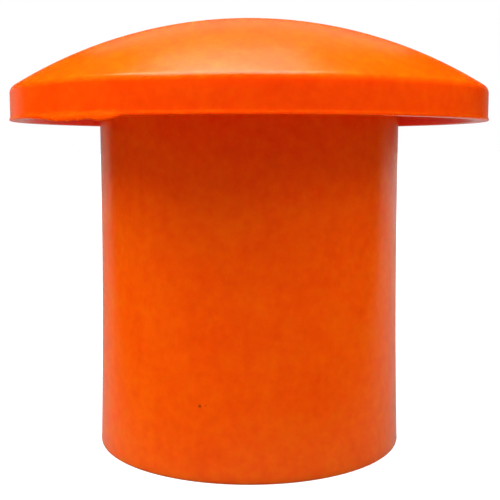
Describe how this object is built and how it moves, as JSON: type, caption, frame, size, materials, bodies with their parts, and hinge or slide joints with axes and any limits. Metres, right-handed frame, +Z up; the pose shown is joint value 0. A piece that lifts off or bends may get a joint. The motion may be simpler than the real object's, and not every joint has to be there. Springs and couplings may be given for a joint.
{
  "type": "mushroom rebar safety cap",
  "caption": "Orange mushroom-shaped plastic safety cap: a shallow domed head with a banded brim on a hollow stem whose inner fins grip the end of a reinforcing bar.",
  "frame": {"origin": "centre of the stem's mouth, on the plane of its rim", "axes": "+Z up the stem to the crown of the dome; +X through the hinge line of grip_fin_1"},
  "size_m": [0.054, 0.054, 0.0488],
  "materials": {
    "orange_polyethylene": "satin moulded polyethylene with a faint orange-peel surface"
  },
  "bodies": {
    "cap": {"domed_head": "orange_polyethylene", "brim_skirt": "orange_polyethylene", "stem_sleeve": "orange_polyethylene"},
    "grip_fin_1": {"grip_fin_1": "orange_polyethylene"},
    "grip_fin_2": {"grip_fin_2": "orange_polyethylene"},
    "grip_fin_3": {"grip_fin_3": "orange_polyethylene"},
    "grip_fin_4": {"grip_fin_4": "orange_polyethylene"},
    "grip_fin_5": {"grip_fin_5": "orange_polyethylene"},
    "grip_fin_6": {"grip_fin_6": "orange_polyethylene"}
  },
  "joints": [
    {"name": "grip_fin_1_fold", "type": "hinge", "parent": "cap", "child": "grip_fin_1", "pos_m": [0.015, 0, 0.02], "axis": [0, 0, -1], "range_deg": [0, 50], "stiffness_Nm_per_rad": 0.08},
    {"name": "grip_fin_2_fold", "type": "hinge", "parent": "cap", "child": "grip_fin_2", "pos_m": [0.0075, 0.01299, 0.02], "axis": [0, 0, -1], "range_deg": [0, 50], "stiffness_Nm_per_rad": 0.08},
    {"name": "grip_fin_3_fold", "type": "hinge", "parent": "cap", "child": "grip_fin_3", "pos_m": [-0.0075, 0.01299, 0.02], "axis": [0, 0, -1], "range_deg": [0, 50], "stiffness_Nm_per_rad": 0.08},
    {"name": "grip_fin_4_fold", "type": "hinge", "parent": "cap", "child": "grip_fin_4", "pos_m": [-0.015, 0, 0.02], "axis": [0, 0, -1], "range_deg": [0, 50], "stiffness_Nm_per_rad": 0.08},
    {"name": "grip_fin_5_fold", "type": "hinge", "parent": "cap", "child": "grip_fin_5", "pos_m": [-0.0075, -0.01299, 0.02], "axis": [0, 0, -1], "range_deg": [0, 50], "stiffness_Nm_per_rad": 0.08},
    {"name": "grip_fin_6_fold", "type": "hinge", "parent": "cap", "child": "grip_fin_6", "pos_m": [0.0075, -0.01299, 0.02], "axis": [0, 0, -1], "range_deg": [0, 50], "stiffness_Nm_per_rad": 0.08}
  ]
}
